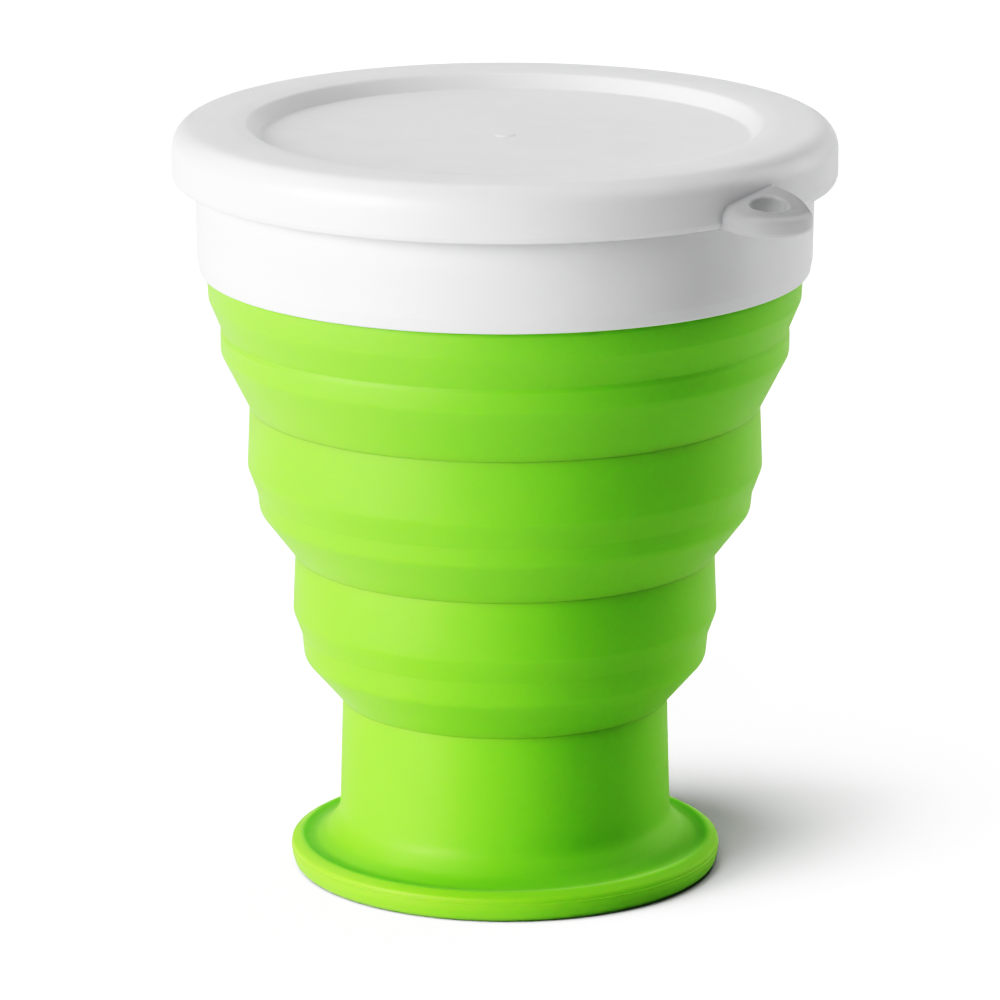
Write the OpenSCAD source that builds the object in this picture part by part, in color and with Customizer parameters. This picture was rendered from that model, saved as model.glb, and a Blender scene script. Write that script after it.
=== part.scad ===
// Collapsible drinking cup: a stepped silicone bellows body held in a rigid
// collar, closed by a push-on lid with a moulded hanging loop.
// The cup stands on z = 0 and its axis is the z axis.

/* [Lid] */
// Outer radius of the lid
lid_r = 41.5; // [41:0.1:43]
// Height of the lid's top face above the table
lid_top = 96.1; // [95.8:0.1:97]
// Height of the lid skirt's lower edge
skirt_z = 89.2; // [88.6:0.1:89.4]
// Rounding between the lid's side and its top
lid_round = 3.6; // [3:0.1:4]
// Wall thickness of the lid
lid_wall = 1.6; // [1.4:0.05:1.7]
// Radius where the raised rim ends and the recess wall starts
rim_in_r = 32.9; // [32:0.1:33.4]
// Radius of the flat recess floor
recess_r = 30.6; // [28:0.1:31.2]
// Depth of the recess below the rim
recess_d = 1.9; // [1:0.1:2.4]
// How far the plug ring reaches down from the rim's underside
plug_h = 3.7; // [2:0.1:4]

/* [Hanging loop] */
// Direction of the loop around the lid, in degrees
loop_az = -45; // [-60:1:-30]
// Distance from the cup axis to the centre of the hole
loop_c = 44.2; // [43.6:0.1:45]
// Radius of the hole
loop_hole_r = 2.5; // [2:0.1:2.8]
// Outer radius of the loop
loop_r = 5.3; // [4.8:0.1:5.6]
// Thickness of the loop
loop_t = 2.4; // [2:0.1:2.6]
// Height of the loop's underside
loop_z = 89.0; // [88.8:0.1:89.4]
// Width of the tongue that joins the loop to the lid
tongue_w = 7.8; // [6:0.2:9]

/* [Collar] */
// Outer radius of the collar just below the lid
collar_r = 38.6; // [38.4:0.1:38.8]
// Height of the collar's lower edge
collar_z = 77.5; // [76.5:0.1:78]
// Radius of the snap flange under the lid
flange_r = 39.5; // [39.3:0.05:39.55]
// Inner radius of the collar, where it grips the silicone
grip_r = 37.25; // [37.2:0.01:37.3]
// Inner radius of the collar's top lip, the drinking edge
mouth_r = 35.6; // [35.5:0.05:35.7]

/* [Silicone body] */
// Radial wall thickness of the bands and folds
wall = 1.3; // [1.1:0.05:1.35]
// Wall thickness of the stem
stem_wall = 1.8; // [1.4:0.1:2.2]
// Thickness of the cup's floor above the table
floor_t = 3.0; // [2.4:0.1:3.4]
// Radius at the top of the middle band
mid_r = 32.1; // [31.9:0.1:32.3]
// Radius at the top of the lower band
low_r = 26.5; // [26.3:0.1:26.7]
// Radius at the top of the stem
stem_r = 20.6; // [20.4:0.1:20.8]
// Radius of the foot flange
foot_r = 27.4; // [26.6:0.1:28]
// Height at the top of the middle band
mid_z = 60.2; // [59.6:0.1:60.6]
// Height at the top of the lower band
low_z = 41.0; // [40.6:0.1:41.4]
// Height at the top of the stem
stem_z = 22.0; // [21.6:0.1:22.4]

/* [Hidden] */
$fn = 96;

// Heights where the rim band, middle band and lower band end and fold
rim_end_z = 73.9;
mid_end_z = mid_z - 7.9;
low_end_z = low_z - 7.6;
stem_end_z = 7.7;

// Points on an arc, centre [cx, cz], from angle a0 to a1
function arc(cx, cz, r, a0, a1, n = 6) =
    [for (i = [0 : n]) let (a = a0 + (a1 - a0) * i / n) [cx + r * cos(a), cz + r * sin(a)]];

// A wall of constant radial thickness under an outer profile given top down
function shell(outer, t) = concat(outer,
    [for (i = [len(outer) - 1 : -1 : 0]) [outer[i][0] - t, outer[i][1]]]);

module ring(points) rotate_extrude($fn = 128) polygon(points);

// The lid's outer shape as a solid, used to trim the loop to the lid's side
module lid_blank() ring(concat([[0, skirt_z - 5], [lid_r, skirt_z - 5]],
    arc(lid_r - lid_round, lid_top - lid_round, lid_round, 0, 90, 8), [[0, lid_top]]));

// Push-on lid: skirt, rounded edge, raised rim, sloped recess wall, plug ring
module lid() {
    in_r = lid_r - lid_wall;
    under = lid_top - lid_wall;
    plug_out = mouth_r - 0.3;
    plug_in = plug_out - 1.3;
    color("whitesmoke") ring(concat(
        // skirt's lower edge and outer side, then the rounded top edge
        [[in_r - 0.3, skirt_z], [lid_r - 0.5, skirt_z], [lid_r - 0.15, skirt_z + 0.15], [lid_r, skirt_z + 0.5]],
        arc(lid_r - lid_round, lid_top - lid_round, lid_round, 0, 90, 8),
        // raised rim and recess
        [[rim_in_r, lid_top], [recess_r, lid_top - recess_d], [0, lid_top - recess_d],
         [0, lid_top - recess_d - lid_wall], [recess_r + 0.6, lid_top - recess_d - lid_wall],
         [plug_in, under - 0.3]],
        // plug ring that centres the lid in the mouth
        [[plug_in, under - plug_h], [plug_out - 0.5, under - plug_h], [plug_out, under - plug_h + 0.6], [plug_out, under]],
        // inside of the rounded edge and the skirt, with its snap rib
        [for (p = arc(lid_r - lid_round, lid_top - lid_round, lid_round - lid_wall, 90, 0, 6)) p],
        [[in_r, skirt_z + 1.2], [in_r - 0.3, skirt_z + 0.8]]));
}

// Hanging loop, moulded in one with the lid
module hang_loop() {
    color("gainsboro") rotate([0, 0, loop_az]) difference() {
        union() {
            translate([loop_c, 0, loop_z]) cylinder(r = loop_r, h = loop_t);
            rotate([90, 0, 0]) linear_extrude(tongue_w, center = true)
                polygon([[lid_r - 2, loop_z + 0.4], [loop_c, loop_z], [loop_c, loop_z + loop_t],
                         [lid_r + 0.6, loop_z + loop_t + 1.2], [lid_r - 0.6, loop_z + loop_t + 2.6],
                         [lid_r - 2, loop_z + loop_t + 2.6]]);
        }
        translate([loop_c, 0, loop_z - 5]) cylinder(r = loop_hole_r, h = loop_t + 12);
        // the gusset is cut back round the hole, so that a cord has room above it
        translate([loop_c, 0, loop_z + loop_t]) cylinder(r = loop_hole_r + 0.6, h = 12);
        lid_blank();
    }
}

// Rigid collar that grips the silicone rim and carries the lid
module collar_ring() {
    top = lid_top - lid_wall - 0.1;
    color("white") ring(concat(
        [[grip_r, collar_z + 0.3], [grip_r + 0.3, collar_z], [collar_r - 0.8, collar_z],
         [collar_r - 0.4, collar_z + 0.3], [collar_r - 0.15, collar_z + 1],
         [collar_r, skirt_z + 0.4], [flange_r, skirt_z + 1.1]],
        arc(flange_r - 1.8, top - 1.8, 1.8, 0, 90, 5),
        [[mouth_r + 0.5, top], [mouth_r, top - 0.5], [mouth_r, top - 1.2],
         [grip_r, top - 1.2], [grip_r, 84.8], [grip_r + 0.6, 84.55], [grip_r + 0.6, 83.45], [grip_r, 83.2]]));
}

// Silicone inside the collar and the short strip that shows below it
module rim_band() {
    top = lid_top - lid_wall - 1.4;
    r = grip_r - 0.05;
    color("limegreen") ring([[37.1 - wall, rim_end_z], [37.1, rim_end_z], [37.2, collar_z - 2],
        [r, 83.25], [r + 0.55, 83.5], [r + 0.55, 84.5], [r, 84.75], [r, top],
        [37.1 - wall, top]]);
}

// Soft zone between the rim band and the middle band: shoulder, bead and web
module upper_fold() color("limegreen") ring(shell(
    [[37.1, rim_end_z], [36.9, rim_end_z - 0.7], [35.65, 70.6], [35.5, 69.9], [35.65, 67.6],
     [35.4, 66.8], [mid_r, mid_z]], wall));

module middle_band() color("limegreen") ring(shell(
    [[mid_r, mid_z], [mid_r + 0.25, mid_end_z]], wall));

module middle_fold() color("limegreen") ring(shell(
    [[mid_r + 0.25, mid_end_z], [mid_r + 0.05, mid_end_z - 0.7], [31.3, 49.4], [31.15, 48.8],
     [30.95, 47], [30.7, 46.3], [low_r, low_z]], wall));

module lower_band() color("limegreen") ring(shell(
    [[low_r, low_z], [low_r + 0.25, low_end_z]], wall));

module lower_fold() color("limegreen") ring(shell(
    [[low_r + 0.25, low_end_z], [low_r + 0.05, low_end_z - 0.7], [25.85, 31], [25.7, 30.4],
     [25.4, 27.8], [25.1, 27.0], [stem_r + 0.05, stem_z + 0.1], [stem_r, stem_z]], wall));

// Straight lower part of the cup
module stem() color("limegreen") ring([[stem_r, stem_z], [stem_r + 0.35, stem_end_z],
    [stem_r + 0.35 - stem_wall, stem_end_z], [stem_r - stem_wall, stem_z - 1.5], [stem_r - wall, stem_z]]);

// Foot: fillet, flange with a rounded edge, cup floor and a shallow underside recess
module foot() color("limegreen") ring(concat(
    [[0, 0.6], [21, 0.6], [21.8, 0], [foot_r - 0.9, 0]],
    arc(foot_r - 0.9, 0.9, 0.9, -90, 0, 4),
    arc(foot_r - 1.1, 2.2, 1.1, 0, 90, 4),
    [[24.6, 3.45], [23.3, 4.1]],
    [[22.2, 5.2], [21.4, 6.3], [stem_r + 0.35, stem_end_z], [stem_r + 0.35 - stem_wall, stem_end_z]],
    arc(stem_r + 0.35 - stem_wall - 3, floor_t + 3, 3, 0, -90, 5),
    [[0, floor_t]]));

lid();
hang_loop();
collar_ring();
rim_band();
upper_fold();
middle_band();
middle_fold();
lower_band();
lower_fold();
stem();
foot();
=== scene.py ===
import bpy, bmesh, math
import numpy as np
from mathutils import Vector, Matrix


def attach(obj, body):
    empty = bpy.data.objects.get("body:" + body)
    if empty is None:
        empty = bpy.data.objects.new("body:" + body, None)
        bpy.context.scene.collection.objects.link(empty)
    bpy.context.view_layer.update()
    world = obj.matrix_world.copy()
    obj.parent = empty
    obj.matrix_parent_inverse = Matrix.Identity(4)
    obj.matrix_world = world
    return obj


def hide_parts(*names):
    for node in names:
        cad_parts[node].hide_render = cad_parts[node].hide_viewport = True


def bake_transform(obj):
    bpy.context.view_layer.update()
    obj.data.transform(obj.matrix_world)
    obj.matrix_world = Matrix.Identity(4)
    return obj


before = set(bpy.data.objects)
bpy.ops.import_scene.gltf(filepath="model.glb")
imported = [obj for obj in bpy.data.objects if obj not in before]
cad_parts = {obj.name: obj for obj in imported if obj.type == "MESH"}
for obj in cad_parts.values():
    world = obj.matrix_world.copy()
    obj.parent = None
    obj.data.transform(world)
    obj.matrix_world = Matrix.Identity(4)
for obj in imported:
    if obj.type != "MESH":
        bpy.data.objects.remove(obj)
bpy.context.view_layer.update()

MM = 0.001
SEG = 256

# ---------------------------------------------------------------- helpers

def rounded(points, closed=False, step=12.0):
    """points: (r, z) or (r, z, fillet radius) in mm. Returns the outline with its corners rounded."""
    out = []
    n = len(points)
    for i, p in enumerate(points):
        r = p[2] if len(p) > 2 else 0.0
        if r <= 0 or (not closed and i in (0, n - 1)):
            out.append((p[0], p[1]))
            continue
        a = np.array(points[i - 1][:2], float)
        b = np.array(p[:2], float)
        c = np.array(points[(i + 1) % n][:2], float)
        u, v = a - b, c - b
        lu, lv = np.linalg.norm(u), np.linalg.norm(v)
        u, v = u / lu, v / lv
        ang = math.acos(max(-1, min(1, float(u @ v))))
        if abs(math.pi - ang) < 1e-3:
            out.append((b[0], b[1]))
            continue
        d = min(r / math.tan(ang / 2), 0.499 * lu, 0.499 * lv)
        r = d * math.tan(ang / 2)
        centre = b + (u + v) / np.linalg.norm(u + v) * (r / math.sin(ang / 2))
        p0, p1 = b + u * d, b + v * d
        a0 = math.atan2(*(p0 - centre)[::-1])
        a1 = math.atan2(*(p1 - centre)[::-1])
        da = (a1 - a0 + math.pi) % (2 * math.pi) - math.pi
        k = max(2, int(math.ceil(math.degrees(abs(da)) / step)))
        for j in range(k + 1):
            t = a0 + da * j / k
            out.append((centre[0] + r * math.cos(t), centre[1] + r * math.sin(t)))
    return out


def split_long(path, longest):
    """Adds points so that no stretch of the open path is longer than longest."""
    out = [path[0]]
    for p, q in zip(path, path[1:]):
        k = max(1, int(math.ceil(math.hypot(q[0] - p[0], q[1] - p[1]) / longest)))
        for j in range(1, k + 1):
            out.append((p[0] + (q[0] - p[0]) * j / k, p[1] + (q[1] - p[1]) * j / k))
    return out


def lathe(name, outline, seg=SEG, sharp=32.0):
    """Turns a closed (r, z) outline in mm round the z axis into a closed mesh."""
    clean = []
    for p in outline:
        if not clean or math.hypot(p[0] - clean[-1][0], p[1] - clean[-1][1]) > 1e-4:
            clean.append(p)
    if math.hypot(clean[0][0] - clean[-1][0], clean[0][1] - clean[-1][1]) < 1e-4:
        clean.pop()
    verts, rings = [], []
    cs = [(math.cos(2 * math.pi * k / seg), math.sin(2 * math.pi * k / seg)) for k in range(seg)]
    for r, z in clean:
        if r < 1e-6:
            rings.append([len(verts)])
            verts.append((0, 0, z * MM))
        else:
            rings.append(list(range(len(verts), len(verts) + seg)))
            verts += [(r * c * MM, r * s * MM, z * MM) for c, s in cs]
    faces = []
    n = len(rings)
    for i in range(n):
        a, b = rings[i], rings[(i + 1) % n]
        if len(a) == 1 and len(b) == 1:
            continue
        for k in range(seg):
            k2 = (k + 1) % seg
            if len(a) == 1:
                faces.append((a[0], b[k], b[k2]))
            elif len(b) == 1:
                faces.append((a[k], b[0], a[k2]))
            else:
                faces.append((a[k], b[k], b[k2], a[k2]))
    me = bpy.data.meshes.new(name)
    me.from_pydata(verts, [], faces)
    bm = bmesh.new()
    bm.from_mesh(me)
    bmesh.ops.recalc_face_normals(bm, faces=bm.faces)
    bm.to_mesh(me)
    bm.free()
    me.shade_smooth()
    me.set_sharp_from_angle(angle=math.radians(sharp))
    ob = bpy.data.objects.new(name, me)
    bpy.context.scene.collection.objects.link(ob)
    return ob


# ---------------------------------------------------------------- materials

class Nodes:
    """A short way to lay out a material's nodes."""

    def __init__(self, name):
        self.mat = bpy.data.materials.new(name)
        self.mat.use_nodes = True
        self.t = self.mat.node_tree
        self.bsdf = self.t.nodes["Principled BSDF"]

    def new(self, kind, **inputs):
        n = self.t.nodes.new(kind)
        for k, v in inputs.items():
            k2 = k.replace("_", " ")
            if k2 in n.inputs:
                n.inputs[k2].default_value = v
            else:
                setattr(n, k, v)
        return n

    def link(self, a, b):
        self.t.links.new(a, b)

    def noise(self, vec, scale, detail=3.0, rough=0.55):
        n = self.new("ShaderNodeTexNoise", Scale=scale, Detail=detail, Roughness=rough)
        self.link(vec, n.inputs["Vector"])
        return n.outputs["Fac"]

    def ramp(self, fac, lo, hi, to_lo, to_hi):
        m = self.new("ShaderNodeMapRange")
        m.inputs["From Min"].default_value = lo
        m.inputs["From Max"].default_value = hi
        m.inputs["To Min"].default_value = to_lo
        m.inputs["To Max"].default_value = to_hi
        self.link(fac, m.inputs["Value"])
        return m.outputs["Result"]

    def mix(self, fac, a, b):
        m = self.new("ShaderNodeMix")
        m.data_type = "RGBA"
        if isinstance(fac, float):
            m.inputs[0].default_value = fac
        else:
            self.link(fac, m.inputs[0])
        for s, x in ((6, a), (7, b)):
            if isinstance(x, tuple):
                m.inputs[s].default_value = (*x, 1.0)
            else:
                self.link(x, m.inputs[s])
        return m.outputs[2]

    def bump(self, height, strength, distance, normal=None):
        b = self.new("ShaderNodeBump", Strength=strength, Distance=distance)
        self.link(height, b.inputs["Height"])
        if normal is not None:
            self.link(normal, b.inputs["Normal"])
        return b.outputs["Normal"]


def silicone(name="silicone_green", foot=False):
    m = Nodes(name)
    co = m.new("ShaderNodeTexCoord").outputs["Object"]
    broad = m.noise(co, 22.0, 2.0)
    cloudy = m.noise(co, 120.0, 4.0, 0.6)
    fine = m.noise(co, 2600.0, 2.0, 0.5)
    grain = m.noise(co, 900.0, 3.0, 0.6)
    axis = m.new("ShaderNodeSeparateXYZ")
    m.link(co, axis.inputs[0])
    patch = m.ramp(broad, 0.35, 0.65, 0.0, 1.0)
    base = m.mix(m.ramp(axis.outputs["Z"], 0.015, 0.080, 0.0, 1.0),    # painted sheen: a little paler and bluer towards the rim
                 m.mix(patch, (0.266, 0.600, 0.076), (0.282, 0.618, 0.084)), m.mix(patch, (0.276, 0.604, 0.106), (0.292, 0.622, 0.114)))
    base = m.mix(m.ramp(cloudy, 0.40, 0.75, 0.0, 0.30), base, (0.300, 0.634, 0.112))
    if foot:    # painted light and shade: the flange's outer edge is tinted yellower for light passing through it, and the band from the stem out to the crest is darkened for shade
        flat = m.new("ShaderNodeCombineXYZ")
        m.link(axis.outputs["X"], flat.inputs["X"])
        m.link(axis.outputs["Y"], flat.inputs["Y"])
        length = m.new("ShaderNodeVectorMath", operation="LENGTH")
        m.link(flat.outputs[0], length.inputs[0])
        radius = length.outputs["Value"]
        # painted light: yellower outer edge, mostly above the parting line
        edge = m.new("ShaderNodeMath", operation="MULTIPLY")
        m.link(m.ramp(radius, 0.0252, 0.0266, 0.0, 0.5), edge.inputs[0])
        m.link(m.ramp(axis.outputs["Z"], 0.0012, 0.0026, 0.25, 1.0), edge.inputs[1])
        base = m.mix(edge.outputs[0], base, (0.355, 0.612, 0.092))
        # painted shade: darker band between the stem and the flange's crest, set by radius alone, so the underside gets
        # it too
        shade = m.new("ShaderNodeMath", operation="MULTIPLY")
        m.link(m.ramp(radius, 0.0214, 0.0232, 0.0, 0.30), shade.inputs[0])
        m.link(m.ramp(radius, 0.0246, 0.0256, 1.0, 0.0), shade.inputs[1])
        base = m.mix(shade.outputs[0], base, (0.190, 0.430, 0.062))
    m.link(base, m.bsdf.inputs["Base Color"])
    m.link(m.ramp(cloudy, 0.3, 0.7, 0.50, 0.60), m.bsdf.inputs["Roughness"])
    m.link(m.bump(fine, 0.10, 0.00004, m.bump(grain, 0.12, 0.00008)), m.bsdf.inputs["Normal"])
    b = m.bsdf.inputs
    b["Subsurface Weight"].default_value = 0.55
    b["Subsurface Radius"].default_value = (0.45, 1.0, 0.12)
    b["Subsurface Scale"].default_value = 0.0030
    b["IOR"].default_value = 1.41
    b["Specular IOR Level"].default_value = 0.62
    b["Sheen Weight"].default_value = 0.16
    b["Sheen Roughness"].default_value = 0.5
    return m.mat


def plastic(name, tint, rough_lo, rough_hi, sss):
    m = Nodes(name)
    co = m.new("ShaderNodeTexCoord").outputs["Object"]
    broad = m.noise(co, 30.0, 2.0)
    cloudy = m.noise(co, 160.0, 4.0, 0.6)
    fine = m.noise(co, 3200.0, 2.0, 0.5)
    grain = m.noise(co, 1100.0, 3.0, 0.6)
    darker = tuple(c * 0.965 for c in tint)
    base = m.mix(m.ramp(broad, 0.35, 0.65, 0.0, 0.5), tint, darker)
    base = m.mix(m.ramp(cloudy, 0.45, 0.8, 0.0, 0.5), base, darker)
    m.link(base, m.bsdf.inputs["Base Color"])
    m.link(m.ramp(cloudy, 0.3, 0.7, rough_lo, rough_hi), m.bsdf.inputs["Roughness"])
    m.link(m.bump(fine, 0.08, 0.00003, m.bump(grain, 0.08, 0.00006)), m.bsdf.inputs["Normal"])
    b = m.bsdf.inputs
    b["Subsurface Weight"].default_value = sss
    b["Subsurface Radius"].default_value = (1.0, 0.95, 0.9)
    b["Subsurface Scale"].default_value = 0.0020
    b["IOR"].default_value = 1.49
    return m.mat


GREEN = silicone()
GREEN_FOOT = silicone("silicone_green_foot", True)
LID = plastic("lid_polypropylene", (0.72, 0.72, 0.725), 0.34, 0.44, 0.25)
COLLAR = plastic("collar_polypropylene", (0.73, 0.73, 0.735), 0.34, 0.44, 0.2)


def dress(ob, mat):
    ob.data.materials.clear()
    ob.data.materials.append(mat)


# ---------------------------------------------------------------- silicone body

TONE = [(0, 0), (0.10, 0.022), (0.17, 0.060), (0.31, 0.215), (0.45, 0.420), (0.70, 0.690), (0.90, 0.835), (1.10, 0.940), (1.32, 1.0)]

W = 1.3      # radial wall of the bands and folds
WS = 1.8     # stem wall

CREASE1 = (32.10, 60.20)
CREASE2 = (26.50, 41.00)
CREASE3 = (20.60, 22.00)


def skin(outer):
    """Closed outline: the outer path, top down, and the same path moved in by the wall, bottom up."""
    inner = [(r - W, z) for r, z in reversed(outer)]
    return outer + inner


# tier 1: rim inside the collar, visible strip, shoulder, bead and web
outer1 = rounded([
    (37.20, 78.60), (37.30, 76.90, 1.2), (37.12, 74.05, 0.9), (35.50, 70.15, 0.45),
    (35.68, 69.60, 0.5), (35.66, 67.20, 1.6), CREASE1])
outer1 = split_long(outer1, 0.7)
hidden1 = rounded([(37.20, 93.10), (37.20, 84.75), (37.75, 84.50, 0.2), (37.75, 83.50, 0.2), (37.20, 83.25), (37.20, 78.60)])
inner1 = [(r - W, z) for r, z in reversed(outer1)]
inner1 = inner1[:-1] + [(35.80, 78.6)]
rim_top = rounded([(35.80, 78.6), (35.80, 93.10, 0.5), (37.20, 93.10)])[1:]
tier1 = lathe("silicone_upper_tier", hidden1[:-1] + outer1 + inner1 + rim_top)
dress(tier1, GREEN)

# tier 2
outer2 = rounded([CREASE1, (32.40, 52.35, 1.5), (31.20, 49.10, 0.6), (30.95, 46.80, 1.9), CREASE2])
outer2 = split_long(outer2, 0.6)
tier2 = lathe("silicone_middle_tier", skin(outer2))
dress(tier2, GREEN)

# tier 3
outer3 = rounded([CREASE2, (26.80, 33.50, 1.5), (25.74, 30.60, 0.6), (25.42, 27.50, 1.9), CREASE3])
outer3 = split_long(outer3, 0.6)
tier3 = lathe("silicone_lower_tier", skin(outer3))
dress(tier3, GREEN)

# stem and foot, one piece of the same moulding
outer4 = rounded([
    CREASE3, (20.95, 9.20, 0), (21.05, 6.9, 3.4), (22.7, 4.35, 2.6), (24.1, 3.52, 2.0), (25.1, 3.58, 1.2), (25.95, 3.88, 0.9), (27.20, 3.15, 1.1),
    (27.20, 2.56), (27.27, 2.46), (27.20, 2.36), (27.20, 1.75, 1.2), (26.88, 0.55, 1.1), (26.10, 0.0, 0.6), (22.4, 0.0, 0.4), (21.6, 0.6, 0.4), (0.0, 0.6)], step=9)
inner4 = rounded([(0.0, 3.0), (19.1, 3.0, 3.2), (18.85, 20.2, 2.0), (CREASE3[0] - W, 21.6), (CREASE3[0] - W, 22.0)], step=9)
stem = lathe("silicone_stem_and_foot", outer4 + inner4)
dress(stem, GREEN_FOOT)

# ---------------------------------------------------------------- collar

top_c = 94.4
collar = lathe("collar", rounded([
    (37.25, 77.85, 0.2), (37.55, 77.5, 0.2), (38.15, 77.5, 0.7), (38.45, 79.2, 1.5), (38.63, 89.4, 0.4), (39.50, 90.3, 0.2),
    (39.50, top_c, 1.8), (36.1, top_c, 0.4), (35.6, 93.9, 0.4), (35.6, 93.2, 0.15), (37.25, 93.2),
    (37.25, 84.80), (37.80, 84.55), (37.80, 83.45), (37.25, 83.20)], closed=True, step=10))
dress(collar, COLLAR)

# ---------------------------------------------------------------- lid

lid = lathe("lid", rounded([
    (39.60, 89.30, 0.1), (39.80, 89.18, 0.1), (41.25, 89.18, 0.35), (41.5, 89.9, 0.3), (41.5, 96.1, 3.6), (34.2, 96.12, 4.0), (32.05, 95.95, 1.0),
    (30.6, 94.2, 0.6), (1.35, 94.2, 0.15), (1.05, 94.34, 0.12), (0.0, 94.34)]) + rounded([
    (0.0, 92.6), (31.2, 92.6, 0.6), (33.9, 94.1, 0.3), (34.0, 90.8, 0.3), (34.8, 90.8, 0.5), (35.3, 91.5, 0.3), (35.3, 94.5, 0.3),
    (39.9, 94.5, 2.0), (39.9, 90.4, 0.3), (39.60, 90.0, 0.2), (39.60, 89.30)]), seg=288)
dress(lid, LID)

# ---------------------------------------------------------------- hanging loop
# The loop is a thick tab with a round end and a vertical hole. Its top rises a little towards the lid, more on one side
# than on the other, and it runs into the lid's side with a fillet. It is shaped by a distance function, which joins the pieces smoothly, and then meshed.

LA = math.radians(-44.6)
LC, LR, LH = 44.55, 5.25, 2.30


def smax(a, b, k):
    h = np.maximum(k - np.abs(a - b), 0.0) / k
    return np.maximum(a, b) + h * h * k * 0.25


def smin(a, b, k):
    return -smax(-a, -b, k)


def loop_shape(p):
    """Signed distance in mm. p: (n, 3) of radial, tangential and z."""
    u, v, z = p[:, 0], p[:, 1], p[:, 2]
    rad = np.hypot(u, v)
    disc = np.hypot(u - LC, v) - LR
    neck = np.maximum(np.abs(v) - 4.5, u - LC)
    plan = smin(disc, neck, 0.6)
    rise = 0.37 * np.clip(47.2 - u, 0.0, 5.2) * np.clip((v + 4.7) / 9.1, 0.0, 1.05)
    top = 91.50 + rise
    tab = smax(smax(plan, (z - top) * 0.94, 1.3), 88.78 - z, 0.9)
    side = np.where(z > 92.5, np.hypot(rad - 37.9, z - 92.5) - 3.46, rad - 41.36)
    wall = smax(side, np.maximum(89.45 - z, z - 94.9), 0.3)
    solid = smin(tab, wall, 0.8)
    solid = np.maximum(solid, np.maximum(40.35 - rad, np.abs(v) - 7.4))
    return smax(solid, LH - np.hypot(u - LC, v), 0.4)


def skin_of(shape, lo, hi, h):
    """Meshes the zero surface of a distance function with one vertex in each cell that it crosses, then slides the
    vertices onto the surface."""
    ax = [np.arange(lo[i], hi[i] + h, h) for i in range(3)]
    n = tuple(len(x) for x in ax)
    g = np.stack(np.meshgrid(*ax, indexing="ij"), -1)
    f = shape(g.reshape(-1, 3)).reshape(n)
    cells = tuple(k - 1 for k in n)
    acc, cnt = np.zeros(cells + (3,)), np.zeros(cells)
    edges = []
    for d in range(3):
        e1, e2 = (d + 1) % 3, (d + 2) % 3
        a = np.take(f, range(n[d] - 1), d)
        b = np.take(f, range(1, n[d]), d)
        i = np.argwhere((a < 0) != (b < 0))
        fa, fb = a[tuple(i.T)], b[tuple(i.T)]
        pos = i.astype(float)
        pos[:, d] += fa / (fa - fb)
        for s1 in (0, 1):
            for s2 in (0, 1):
                c = i.copy()
                c[:, e1] -= s1
                c[:, e2] -= s2
                ok = np.all((c >= 0) & (c < np.array(cells)), 1)
                np.add.at(acc, tuple(c[ok].T), pos[ok])
                np.add.at(cnt, tuple(c[ok].T), 1)
        edges.append((i, fa < 0, e1, e2))
    used = cnt > 0
    index = -np.ones(cells, int)
    index[used] = np.arange(used.sum())
    co = acc[used] / cnt[used][:, None] * h + np.array(lo, float)
    faces = []
    for i, inside, e1, e2 in edges:
        q = []
        for s1, s2 in ((0, 0), (1, 0), (1, 1), (0, 1)):
            c = i.copy()
            c[:, e1] -= s1
            c[:, e2] -= s2
            q.append(index[tuple(c.T)])
        q = np.stack(q, 1)
        q[~inside] = q[~inside][:, ::-1]
        faces.append(q)
    faces = np.concatenate(faces)
    for _ in range(4):
        e = 0.01
        g = np.stack([(shape(co + np.eye(3)[k] * e) - shape(co - np.eye(3)[k] * e)) / (2 * e) for k in range(3)], 1)
        l2 = np.maximum((g * g).sum(1), 0.25)
        co -= np.clip(shape(co) / l2, -0.5 * h, 0.5 * h)[:, None] * g * 0.9
    return co, faces


co, faces = skin_of(loop_shape, (39.2, -8.3, 88.4), (50.2, 8.3, 95.2), 0.14)
c, s = math.cos(LA), math.sin(LA)
co = np.stack([co[:, 0] * c - co[:, 1] * s, co[:, 0] * s + co[:, 1] * c, co[:, 2]], 1) * MM
me = bpy.data.meshes.new("hang_loop_part")
me.from_pydata(co.tolist(), [], faces.tolist())
me.update()
me.shade_smooth()
loop = bpy.data.objects.new("hang_loop_part", me)
bpy.context.scene.collection.objects.link(loop)
dress(loop, LID)

# ---------------------------------------------------------------- riding

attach(stem, "base")
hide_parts("stem", "foot")
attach(collar, "rim_tier")
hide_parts("collar_ring")
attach(lid, "lid_body")
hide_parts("lid")
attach(loop, "lid_body")
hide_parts("hang_loop")
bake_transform(tier1)
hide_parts("rim_band", "upper_fold")
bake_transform(tier2)
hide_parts("middle_band", "middle_fold")
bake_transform(tier3)
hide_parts("lower_band", "lower_fold")

# ---------------------------------------------------------------- floor, lights, camera

me = bpy.data.meshes.new("floor")
bm = bmesh.new()
bmesh.ops.create_circle(bm, cap_ends=True, segments=96, radius=6.0)
bm.to_mesh(me)
bm.free()
floor = bpy.data.objects.new("floor", me)
bpy.context.scene.collection.objects.link(floor)
m = Nodes("floor_white")
m.bsdf.inputs["Roughness"].default_value = 0.7
m.bsdf.inputs["Specular IOR Level"].default_value = 0.0
co = m.new("ShaderNodeTexCoord").outputs["Object"]
seen = m.new("ShaderNodeLightPath").outputs["Is Camera Ray"]
white = m.mix(m.ramp(m.noise(co, 3.0, 3.0), 0.3, 0.7, 0.0, 1.0), (0.1987, 0.1987, 0.1987), (0.200, 0.200, 0.200))
m.link(m.mix(seen, (0.116, 0.116, 0.116), white), m.bsdf.inputs["Base Color"])
me.materials.append(m.mat)

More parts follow.
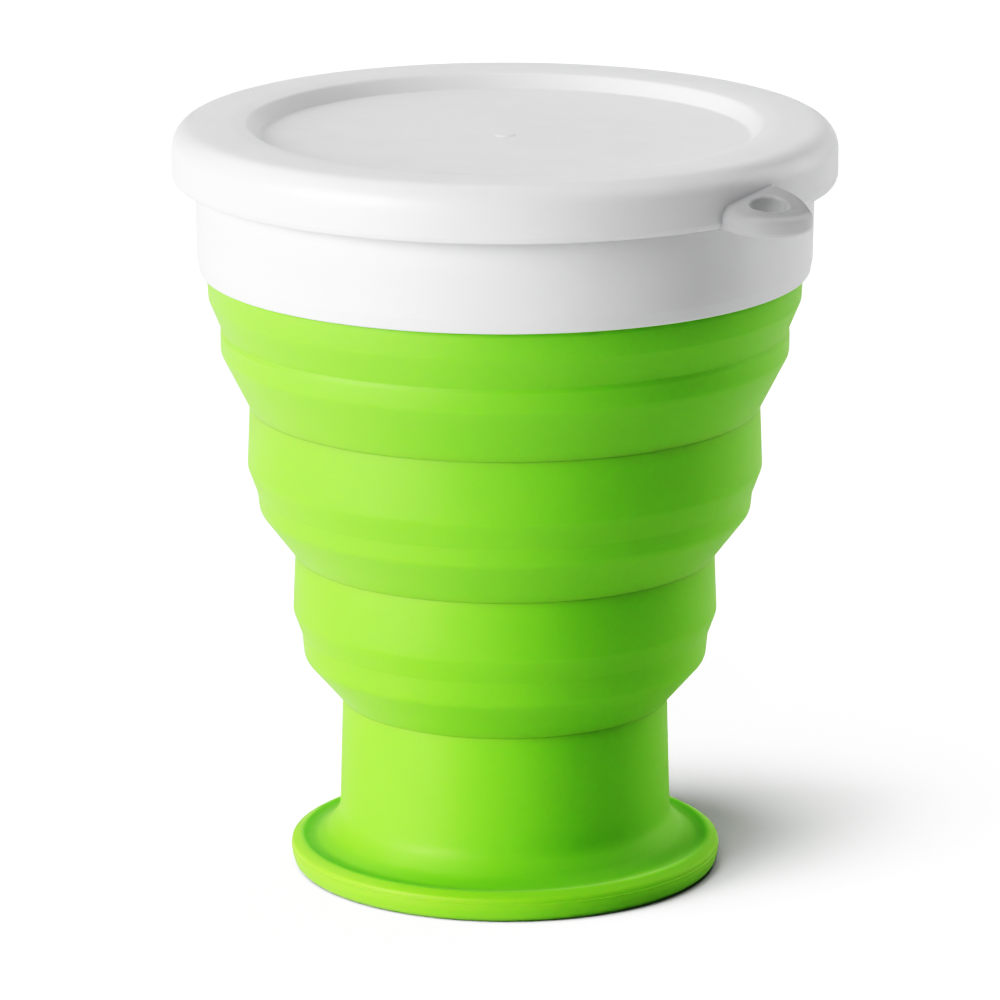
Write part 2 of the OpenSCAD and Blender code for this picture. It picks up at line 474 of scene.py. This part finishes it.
world = bpy.data.worlds.new("studio")
bpy.context.scene.world = world
world.use_nodes = True
wt = world.node_tree
bg = wt.nodes["Background"]
bg.inputs["Color"].default_value = (1, 1, 1, 1)
wm = wt.nodes.new("ShaderNodeMapRange")
wm.inputs["To Min"].default_value = 0.0
wm.inputs["To Max"].default_value = 1.4
wt.links.new(wt.nodes.new("ShaderNodeLightPath").outputs["Is Camera Ray"], wm.inputs["Value"])
wt.links.new(wm.outputs["Result"], bg.inputs["Strength"])


def sun(name, azimuth, elevation, radiance, angle, only=None, shade=None):
    """A distant soft light. Azimuth 0 is the camera's side and 90 is +X. radiance is what a white wall facing it shows."""
    d = bpy.data.lights.new(name, "SUN")
    d.energy, d.angle = radiance * math.pi, math.radians(angle)
    o = bpy.data.objects.new(name, d)
    a, e = math.radians(azimuth), math.radians(elevation)
    to = Vector((math.sin(a) * math.cos(e), -math.cos(a) * math.cos(e), math.sin(e)))
    o.rotation_euler = to.to_track_quat("Z", "Y").to_euler()
    o.location = to * 2
    bpy.context.scene.collection.objects.link(o)
    if only is not None:
        o.light_linking.receiver_collection = only
    if shade is not None:
        o.light_linking.blocker_collection = shade


on_floor = bpy.data.collections.new("floor_lights_only")
on_floor.objects.link(floor)
on_cup = bpy.data.collections.new("cup_lights_only")
for piece in (tier1, tier2, tier3, stem, collar, lid):
    on_cup.objects.link(piece)
on_loop = bpy.data.collections.new("loop_lights_only")
on_loop.objects.link(loop)
foot_only = bpy.data.collections.new("shade_of_the_foot")
foot_only.objects.link(stem)
low = bpy.data.collections.new("shade_of_the_lower_parts")
for piece in (stem, tier3):
    low.objects.link(piece)
sun("key", -57, 15, 1.44, 42, on_cup)
sun("back_left", -142, 54, 0.33, 50, on_cup)
sun("right", 90, 54, 0.30, 50, on_cup)
sun("rim_right", 119, 15, 0.32, 40, on_cup)
sun("back", 165, 15, 0.13, 45, on_cup)
sun("loop_key", -48, 15, 0.12, 40, on_loop)
sun("loop_left", -45, 48, 0.27, 40, on_loop)
sun("loop_far", -110, 50, 0.06, 40, on_loop)
sun("loop_right", 90, 50, 0.22, 40, on_loop)
sun("loop_rim", 128, 20, 0.15, 40, on_loop)
sun("loop_top", 20, 78, 0.09, 50, on_loop)
FLOOR_GAIN = 4.68    # the floor is dark and brightly lit, so that little of the cup's own colour reaches it
sun("floor_key", -60, 15, 1.28 * FLOOR_GAIN, 40, on_floor, foot_only)
sun("floor_high", -60, 60, 0.79 * FLOOR_GAIN, 40, on_floor, low)
sun("floor_front", -10, 35, 0.43 * FLOOR_GAIN, 50, on_floor)
sun("floor_back", 150, 50, 0.22 * FLOOR_GAIN, 50, on_floor)
sun("floor_top", 0, 90, 0.12 * FLOOR_GAIN, 60, on_floor, low)

cam = bpy.data.cameras.new("camera")
cam.lens, cam.sensor_width = 240.5, 36.0
cam.shift_x, cam.shift_y = -0.005, -0.02053
cam.clip_start, cam.clip_end = 0.05, 50
camera = bpy.data.objects.new("camera", cam)
E, D = math.radians(14.25), 0.8423
camera.location = (0, -D * math.cos(E), 0.05 + D * math.sin(E))
camera.rotation_euler = (math.radians(90) - E, 0, 0)
bpy.context.scene.collection.objects.link(camera)
bpy.context.scene.camera = camera
bpy.context.scene.view_settings.view_transform = "Standard"
bpy.context.scene.view_settings.look = "None"

# a gentle film-like tone curve: a soft toe and a soft shoulder
vs = bpy.context.scene.view_settings
vs.use_curve_mapping = True
cm = vs.curve_mapping
TOP = 1.32
cm.white_level = (TOP, TOP, TOP)
curve = cm.curves[3]
for x, y in TONE[1:-1]:
    curve.points.new(x / TOP, y)
curve.points[0].location = TONE[0]
curve.points[-1].location = (1.0, 1.0)
for x, y in [(0.0075, 0.0022), (0.016, 0.0066), (0.03, 0.0137), (0.053, 0.0285), (0.083, 0.062), (0.135, 0.135)]:
    cm.curves[2].points.new(x, y)
for x, y in [(0.03, 0.020), (0.055, 0.038), (0.083, 0.066), (0.12, 0.109), (0.17, 0.17)]:
    cm.curves[0].points.new(x, y)
for toe in (cm.curves[0], cm.curves[2]):
    for p in toe.points:
        p.handle_type = "VECTOR"
cm.update()
